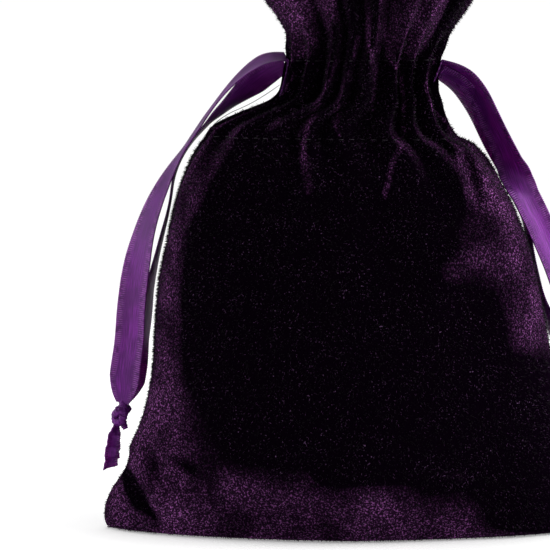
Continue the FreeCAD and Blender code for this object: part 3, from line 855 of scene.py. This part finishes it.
def make_side_seam(name, column):
    """Both panels' edges turned inside and sewn together, from the foot up to the casing."""
    grid, out = PANELS[-1]
    rows = (CLOTH >= ALLOWANCE_ENDS[0]) & (CLOTH <= ALLOWANCE_ENDS[1])
    edge, inward = grid[rows, column], -out[rows, column]
    edge = edge * np.array([1, 0, 1])
    wave = np.sin(CLOTH[rows] * 0.35)[:, None] * np.array([0.0, ALLOWANCE_WAVE, 0.0])
    depths = np.linspace(0.5, ALLOWANCE_WIDTH, 7)
    layers = []
    for layer in ALLOWANCE_LAYERS:
        sheet = []
        for depth in depths:
            apart = np.array([0, layer * min(1, depth / 2), 0])
            sheet.append(edge + inward * depth + wave * depth / ALLOWANCE_WIDTH + apart)
        faces = quads(rows.sum() - 1, len(depths) - 1)
        layers.append((np.stack(sheet, axis=1).reshape(-1, 3), faces))
    piece = mesh_piece(f"{name}_seam_edges", *joined(layers), velvet_inside)
    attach(piece, "pouch")
    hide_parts(f"{name}_seam_allowance")
    line = edge + inward * SEAM_INSET
    stitches = []
    for first in range(0, len(line) - 3, 3):
        stitch = line[first:first + 3]
        for layer in SEAM_LAYERS:
            normal = np.tile([0.0, np.sign(layer), 0.0], (3, 1))
            place = stitch + np.array([0, layer, 0])
            stitches.append(tube(place, normal, THREAD_RADIUS, THREAD_RADIUS))
    seam = mesh_piece(f"{name}_seam_stitches", *joined(stitches), thread)
    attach(seam, "pouch")
    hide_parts(f"{name}_seam_thread")
    return piece


for side in (-1, 1):
    for level in STITCH_ROWS:
        make_casing_row(side, level)
seam_edges = [make_side_seam("left", 0), make_side_seam("right", -1)]

# ---- ribbons ----

RIBBON_STEP = BAR_PITCH / 4  # along the ribbon, between rows of points
HALF_PLACES = [0.2, 0.4, 0.62, 0.64, 0.75, 0.86, 0.95, 1]  # from the middle to an edge
PLACES = np.array([-place for place in HALF_PLACES[::-1]] + [0] + HALF_PLACES)
BAR_RISE = 0.05  # how far the selvage's bars stand up, and how far they stick out at the edge
CURL_LEVEL = 0.4  # what the curl is measured from, so that the ribbon stays on its line
WAVER = 0.14  # how far the edges wander up and down
CREASE_DEPTH, CREASE_PLACE, CREASE_WIDTH = 0.06, 0.22, 0.1


def spline_points(name, controls):
    """Points, in millimetres, along the smooth curve that a ribbon follows."""
    curve = bpy.data.curves.new(name, "CURVE")
    curve.dimensions = "3D"
    spline = curve.splines.new("NURBS")
    spline.points.add(len(controls) - 1)
    for point, co in zip(spline.points, controls):
        point.co = (*co, 1)
    spline.order_u = 3
    spline.use_endpoint_u = True
    spline.resolution_u = 24
    line = bpy.data.objects.new(name, curve)
    mesh = bpy.data.meshes.new_from_object(line)
    points = np.array([v.co for v in mesh.vertices], float)
    bpy.data.objects.remove(line)
    bpy.data.meshes.remove(mesh)
    return points


def running_length(points):
    """Length along a line at each of its points."""
    return np.concatenate([[0], np.cumsum(np.linalg.norm(np.diff(points, axis=0), axis=1))])


def resample(points, step):
    """Evenly spaced points along a line, each one's share of its length, and the length."""
    run = running_length(points)
    count = max(2, int(run[-1] / step))
    shares = np.linspace(0, 1, count + 1)
    even = np.stack([np.interp(shares * run[-1], run, points[:, k]) for k in range(3)], axis=1)
    return even, shares, run[-1]


def strip_frames(line, twist):
    """Face normal and width direction at each point. A twist of 0 faces the front."""
    tangent = unit(np.gradient(line, axis=0))
    face = unit(np.array([0.0, -1.0, 0.0]) + tangent * tangent[:, 1:2])
    side = np.cross(tangent, face)
    c, s = np.cos(np.radians(twist))[:, None], np.sin(np.radians(twist))[:, None]
    normal = face * c + side * s
    return normal, np.cross(tangent, normal)


def curve_along(along, length, values):
    """Smooth curve through values that are spread evenly over a length."""
    return smooth_curve(along, np.stack([np.linspace(0, length, len(values)), values], axis=1))


def ribbon_grid(line, shares, length, twist, width, curl, seed):
    """A flat woven ribbon along a line: rows of points with raised bars along both selvages."""
    rng = np.random.default_rng(seed)
    normal, across = strip_frames(line, twist)
    along = shares * length
    bars = np.sin(2 * math.pi * along / BAR_PITCH)
    waver = curve_along(along, length, rng.uniform(-1, 1, 12))
    crease = curve_along(along, length, rng.uniform(0, 1, 9))
    edge = RIBBON_WIDTH / 2
    columns = []
    for share in PLACES:
        woven = smoothstep(edge - SELVAGE, edge - SELVAGE + 0.1, abs(share) * edge)
        rise = curl * (share**2 - CURL_LEVEL) + BAR_RISE * woven * bars + WAVER * share * waver
        near_crease = math.exp(-(((share - CREASE_PLACE) / CREASE_WIDTH) ** 2))
        rise = rise - CREASE_DEPTH * crease * near_crease
        out = share * edge * width
        if abs(share) == 1:
            out = out + BAR_RISE * bars * share
        columns.append(line + across * out[:, None] + normal * (rise * width)[:, None])
    return np.stack(columns, axis=1)


def add_ribbon_uv(piece, grid, length):
    """U is the distance across the ribbon and V the distance along it, in centimetres."""
    rows, columns = grid.shape[0], grid.shape[1]
    uv = piece.data.uv_layers.new(name="ribbon")
    reach = running_length(grid[rows // 2])
    across = np.tile(reach / reach[-1] * RIBBON_WIDTH / MM_PER_CM, rows)
    along = np.repeat(np.linspace(0, length / MM_PER_CM, rows), columns)
    corner = np.empty(len(piece.data.loops), int)
    piece.data.loops.foreach_get("vertex_index", corner)
    uv.data.foreach_set("uv", np.stack([across[corner], along[corner]], axis=1).ravel())


def ribbon_piece(name, grid, length):
    piece = grid_piece(name, grid, satin)
    add_ribbon_uv(piece, grid, length)
    solid = piece.modifiers.new("thickness", "SOLIDIFY")
    solid.thickness = RIBBON_THICKNESS * MM
    solid.offset = 0
    return piece


# Width of the ribbons where they gather into their knots, at shares of a ply's length.
LEFT_TAPER = [(0.93, 1), (0.96, 0.86), (0.982, 0.66), (1, 0.4)]
RIGHT_TAPER = [(0.88, 1), (0.96, 0.66), (1, 0.34)]
# The control points repeat the CAD routes, moved one by one. Twist, in degrees, and width are
# given at shares of the ply's length; curl is how far its edges lift.
PLIES = {
    "left_ribbon_front_tail": {
        "route": [
            (-13.4, -0.5, 93.8), (-16.4, -1.4, 93.9), (-20.2, -1.7, 92.1), (-24.2, -1.4, 88.5),
            (-28, -1.1, 83.8), (-32.2, -0.9, 77.5), (-36.4, -0.9, 71.1), (-40.2, -1, 63.2),
            (-42.6, -1.5, 54.6), (-44, -1.9, 45), (-44.3, -2, 37.6), (-45.4, -1.6, 31.2),
            (-45.9, -0.6, 25.2),
        ],
        "twist": [
            (0, 67), (0.06, 73), (0.115, 79), (0.18, 84), (0.245, 87), (0.34, 86), (0.4, 79),
            (0.45, 72), (0.5, 65), (0.58, 55), (0.65, 44), (0.72, 36), (0.9, 33), (1, 26),
        ],
        "width": [(0, 0.56), (0.07, 0.95), (0.2, 1), *LEFT_TAPER],
        "curl": 0.18,
    },
    "left_ribbon_back_tail": {
        "route": [
            (-13.6, 0.1, 92), (-16.6, 0, 91), (-20.2, 0, 88.5), (-24.4, 0, 84.9),
            (-29, 0.5, 80.6), (-33, 1.2, 76), (-35.6, 1.8, 70.6), (-36.3, 1.8, 64.6),
            (-38.2, 1.8, 57.4), (-40.3, 2.2, 49), (-41.2, 2.6, 41.4), (-43.6, 2.4, 33),
            (-45.4, 1.2, 28.4), (-45.9, 0.7, 25.2),
        ],
        "twist": [
            (0, -14), (0.05, -29), (0.094, -45), (0.13, -57), (0.173, -69), (0.21, -76),
            (0.25, -85), (0.34, -87), (0.6, -86), (0.7, -78), (0.82, -66), (0.9, -36), (0.96, 0),
            (1, 14),
        ],
        "width": [(0, 0.38), (0.05, 0.76), (0.1, 1), *LEFT_TAPER],
        "curl": -0.15,
    },
    "right_ribbon_front_tail": {
        "route": [
            (17, -0.5, 92.3), (20.9, -1.2, 90.9), (24.3, -1.5, 87.2), (27, -1.6, 81.5),
            (30.1, -1.6, 75), (32.8, -1.5, 68.2), (36.8, -1.4, 60), (41.9, -1.1, 48),
            (44.8, -0.8, 38.4), (46.6, -0.3, 28.2),
        ],
        "twist": [
            (0, 54), (0.1, 54), (0.22, 53), (0.33, 46), (0.39, 8), (0.45, -34), (0.62, -40),
            (0.8, -28), (1, -30),
        ],
        "width": [
            (0, 0.56), (0.08, 0.95), (0.2, 1), (0.34, 1), (0.4, 0.84), (0.47, 0.96), *RIGHT_TAPER,
        ],
        "curl": 0.8,
    },
    "right_ribbon_back_tail": {
        "route": [
            (16.8, 0.4, 90.8), (20.2, 1, 89.1), (23.7, 1.8, 84.7), (27.1, 2.4, 78.5),
            (31, 2.6, 71.8), (33.8, 2.4, 63), (35.2, 2.2, 54.6), (37.2, 1.8, 45.8),
            (41.2, 1.3, 36.6), (46.4, 0.4, 28.2),
        ],
        "twist": [
            (0, 50), (0.15, 53), (0.3, 47), (0.42, 66), (0.5, 84), (0.6, 88), (0.7, 84), (0.85, 66),
            (1, 56),
        ],
        "width": [(0, 0.66), (0.12, 0.95), (0.22, 1), *RIGHT_TAPER],
        "curl": -0.3,
    },
}


def make_tail(name):
    ply = PLIES[name]
    side, _, face, _ = name.split("_")
    path = spline_points(name, ply["route"])
    line, shares, length = resample(path, RIBBON_STEP)
    twist, width = smooth_curve(shares, ply["twist"]), smooth_curve(shares, ply["width"])
    grid = ribbon_grid(line, shares, length, twist, width, ply["curl"], seed=len(name))
    tail = ribbon_piece(f"{side}_{face}_ply", grid, length)
    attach(tail, f"{side}_drawstring")
    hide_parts(name)
    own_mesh(tail)
    return grid[0]


RUN_ENDS = (104.6, 111.8)  # cloth lengths between which the ribbons lie in the casing
RUN_SHARES = np.linspace(0.004, 0.996, 241)  # across the panel
# Share of a run's width that bunches up at its exit, and how far across the panel that reaches.
EXIT_PINCH, EXIT_REACH = 0.4, 0.09
BRIDGE_ROWS, BRIDGE_DIP = 14, 0.5
RUN_INSET = {"left": 0.8, "right": 1.35}


def make_run(cord_side, side):
    """The ribbon's run through one side of the casing, gathered with the cloth."""
    grid, out = PANELS[side]
    from_exit = RUN_SHARES if cord_side == "left" else 1 - RUN_SHARES
    pinch = EXIT_PINCH * (RUN_ENDS[1] - RUN_ENDS[0]) * np.exp(-((from_exit / EXIT_REACH) ** 2))
    lengths = np.linspace(RUN_ENDS[0] + pinch, RUN_ENDS[1], 9)
    inside = grid - out * RUN_INSET[cord_side]
    columns = [on_cloth(inside, length, RUN_SHARES) for length in lengths]
    run = np.stack(columns, axis=1)
    piece = ribbon_piece(f"{cord_side}_{SIDE_NAME[side]}_run", run, FLAT_WIDTH)
    turn_with_mouth(piece)
    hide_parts(f"{cord_side}_ribbon_{SIDE_NAME[side]}_run")
    return run


def make_bridge(name, start, end):
    """A stretch of ribbon between two rows of ribbon points, dipping a little on the way."""
    shares = np.linspace(0, 1, BRIDGE_ROWS)[:, None, None]
    eased = shares * shares * (3 - 2 * shares)
    grid = start * (1 - eased) + end * eased
    grid[..., 2] -= BRIDGE_DIP * np.sin(math.pi * shares[..., 0])
    middle = start.shape[0] // 2
    piece = ribbon_piece(name, grid, float(np.linalg.norm(end[middle] - start[middle])))
    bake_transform(piece)


def across_ribbon(row, count=9):
    """A ribbon's row of points with an even number of places."""
    at = np.linspace(0, len(row) - 1, count)
    return np.stack([np.interp(at, np.arange(len(row)), row[:, k]) for k in range(3)], axis=1)


KNOT_TURNS = [
    (0.2, 0, 3.3), (0.5, -0.6, 2), (0.8, -1, 0.4), (0.2, -1.2, -1.2), (-0.9, -0.6, -1.6),
    (-1.2, 0.6, -0.4), (-0.4, 1.2, 1), (0.9, 0.9, 1.3), (1.5, -0.3, 1), (0.6, -1.3, 1),
    (-0.7, -1.2, 0.6), (-1.1, -0.2, -0.2), (-0.2, 0.5, -1), (0.6, 0.2, -2), (1, 0, -2.9),
]
KNOT_FOLD = (0.85, 0.55)  # half width and half thickness of the bunched ribbon in the knot
OUTWARD = {"left": -1, "right": 1}
# How far each cut end is from the knot in Y, spreads to the side and hangs, and its last twist.
CUT_ENDS = {"front": (-0.5, 0.5, 9.0, 20), "back": (0.6, -0.1, 8.0, 50)}


def make_cut_end(side, face, knot_centre):
    """One of the two crumpled ends that hang below a knot, cut at a slant."""
    depth, spread, reach, last_twist = CUT_ENDS[face]
    outward = OUTWARD[side]
    controls = [
        (0.9 * outward, depth * 0.4, -2.0),
        (1.3 * outward, depth, -3.8),
        ((1.5 + spread * 0.5) * outward, depth * 1.3, -6.4),
        ((1.6 + spread) * outward, depth * 1.5, -1.2 - reach),
    ]
    line, shares, length = resample(spline_points("end", controls), RIBBON_STEP)
    twist = smooth_curve(shares, [(0, 50), (0.4, 30), (1, last_twist)])
    twist += 7 * np.sin(shares * 17) + 4 * np.sin(shares * 41)
    width = smooth_curve(shares, [(0, 0.24), (0.3, 0.36), (1, 0.42)])
    grid = ribbon_grid(line, shares, length, twist * outward, width, curl=0.7, seed=5)
    grid += knot_centre
    slant = np.linspace(0.25, -1.0, grid.shape[1])
    grid[..., 2] += slant * smoothstep(0.55, 1.0, shares)[:, None]
    end = ribbon_piece(f"{side}_{face}_cut_end", grid, length)
    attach(end, f"{side}_knot")
    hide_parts(f"{side}_ribbon_{face}_end")
    return end


def make_knot(side):
    """An overhand knot pulled tight, and the two cut ends below it."""
    low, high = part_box(f"{side}_knot")
    centre = np.array((low + high) / 2) / MM
    line, shares, length = resample(spline_points("knot", KNOT_TURNS), 0.16)
    line = line * np.array([-OUTWARD[side], 1, 1])
    normal, _ = strip_frames(line, 30 * np.sin(shares * 31) + 14 * np.sin(shares * 77))
    folds = 1 + 0.1 * np.sin(shares * 190)[:, None]
    wide, thin = [size * folds for size in KNOT_FOLD]
    points, faces = tube(line, normal, wide, thin, sides=16, taper=0.6)
    knot = mesh_piece(f"{side}_overhand_knot", points + centre, faces, satin)
    add_ribbon_uv(knot, points.reshape(len(line), -1, 3), length)
    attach(knot, f"{side}_knot")
    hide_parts(f"{side}_knot")
    return [knot] + [make_cut_end(side, face, centre) for face in CUT_ENDS]


for cord_side in ("left", "right"):
    pieces = make_knot(cord_side)
    exit_column, far_column = (0, -1) if cord_side == "left" else (-1, 0)
    for side in (-1, 1):
        face = SIDE_NAME[side]
        start = make_tail(f"{cord_side}_ribbon_{face}_tail")
        run = make_run(cord_side, side)
        make_bridge(f"{cord_side}_{face}_exit", across_ribbon(start), run[exit_column])
        middle = run[far_column] * np.array([1, 0, 1])
        make_bridge(f"{cord_side}_{face}_crossing", middle, run[far_column])

LOOSE_THREAD = [
    (-14.6, -1, 88.4), (-16.6, -2.2, 87), (-20.6, -3.4, 84.6), (-25.4, -3.6, 82.6),
    (-28.6, -3.2, 79.8), (-30.2, -2.6, 77.2),
]


def make_loose_thread():
    line, _, _ = resample(spline_points("loose", LOOSE_THREAD), 0.5)
    normal, _ = strip_frames(line, np.zeros(len(line)))
    piece = mesh_piece("loose_thread", *tube(line, normal, 0.06, 0.06), thread)
    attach(piece, "pouch")


make_loose_thread()

# ---- studio ----

# in metres and watts
CAMERA_ELEVATION_DEG = 6
LENS, SENSOR_WIDTH = 200, 36
VIEW_WIDTH = 0.1089
AIM, LIGHT_AIM = Vector((-0.0156, 0, 0.0507)), Vector((0, 0, 0.05))
WORLD_LIGHT, WORLD_SEEN = 0.45, 1.02  # strength of the white on the object, and behind it
FLOOR_REACH = 0.45


def area_light(name, place, size, power):
    data = bpy.data.lights.new(name, "AREA")
    data.shape = "RECTANGLE"
    data.size, data.size_y = size
    data.energy = power
    lamp = bpy.data.objects.new(name, data)
    lamp.location = place
    lamp.rotation_euler = (LIGHT_AIM - Vector(place)).to_track_quat("-Z", "Y").to_euler()
    bpy.context.scene.collection.objects.link(lamp)


def make_world():
    """White behind the object, and dimmer where it lights it."""
    world = bpy.data.worlds.new("studio")
    world.use_nodes = True
    tree = world.node_tree
    background = tree.nodes["Background"]
    background.inputs["Color"].default_value = (1, 1, 1, 1)
    path = tree.nodes.new("ShaderNodeLightPath")
    level = remap(tree, path.outputs["Is Camera Ray"], 0.0, 1.0, WORLD_LIGHT, WORLD_SEEN)
    tree.links.new(level, background.inputs["Strength"])
    bpy.context.scene.world = world


def make_floor():
    reach = FLOOR_REACH / MM
    corners = [(-reach, -reach, 0), (reach, -reach, 0), (reach, reach, 0), (-reach, reach, 0)]
    material, tree, shader = new_material("floor")
    grain = remap(tree, noise(tree, 30, 2), 0.3, 0.7)
    colour = blend_colours(tree, grain, (0.9, 0.9, 0.9), (0.92, 0.92, 0.92))
    tree.links.new(colour, shader.inputs["Base Color"])
    set_inputs(shader, Roughness=0.8, Specular_IOR_Level=0.0,
               Emission_Color=(1, 1, 1, 1), Emission_Strength=0.28)
    mesh_piece("floor", corners, [(0, 1, 2, 3)], material)


def make_camera():
    data = bpy.data.cameras.new("camera")
    data.sensor_width, data.lens = SENSOR_WIDTH, LENS
    distance = VIEW_WIDTH * LENS / SENSOR_WIDTH
    tilt = math.radians(CAMERA_ELEVATION_DEG)
    camera = bpy.data.objects.new("camera", data)
    camera.location = AIM + distance * Vector((0, -math.cos(tilt), math.sin(tilt)))
    camera.rotation_euler = (AIM - camera.location).to_track_quat("-Z", "Y").to_euler()
    data.clip_start, data.clip_end = 0.01, 20
    bpy.context.scene.collection.objects.link(camera)
    bpy.context.scene.camera = camera


make_world()
make_floor()
area_light("left_rim", (-0.55, 0.05, 0.22), (0.4, 0.5), 1.8)
area_light("right_rim", (0.55, -0.1, 0.25), (0.4, 0.5), 4)
area_light("top", (0.0, 0.15, 0.8), (0.8, 0.6), 2)
make_camera()
bpy.context.scene.view_settings.view_transform = "Standard"
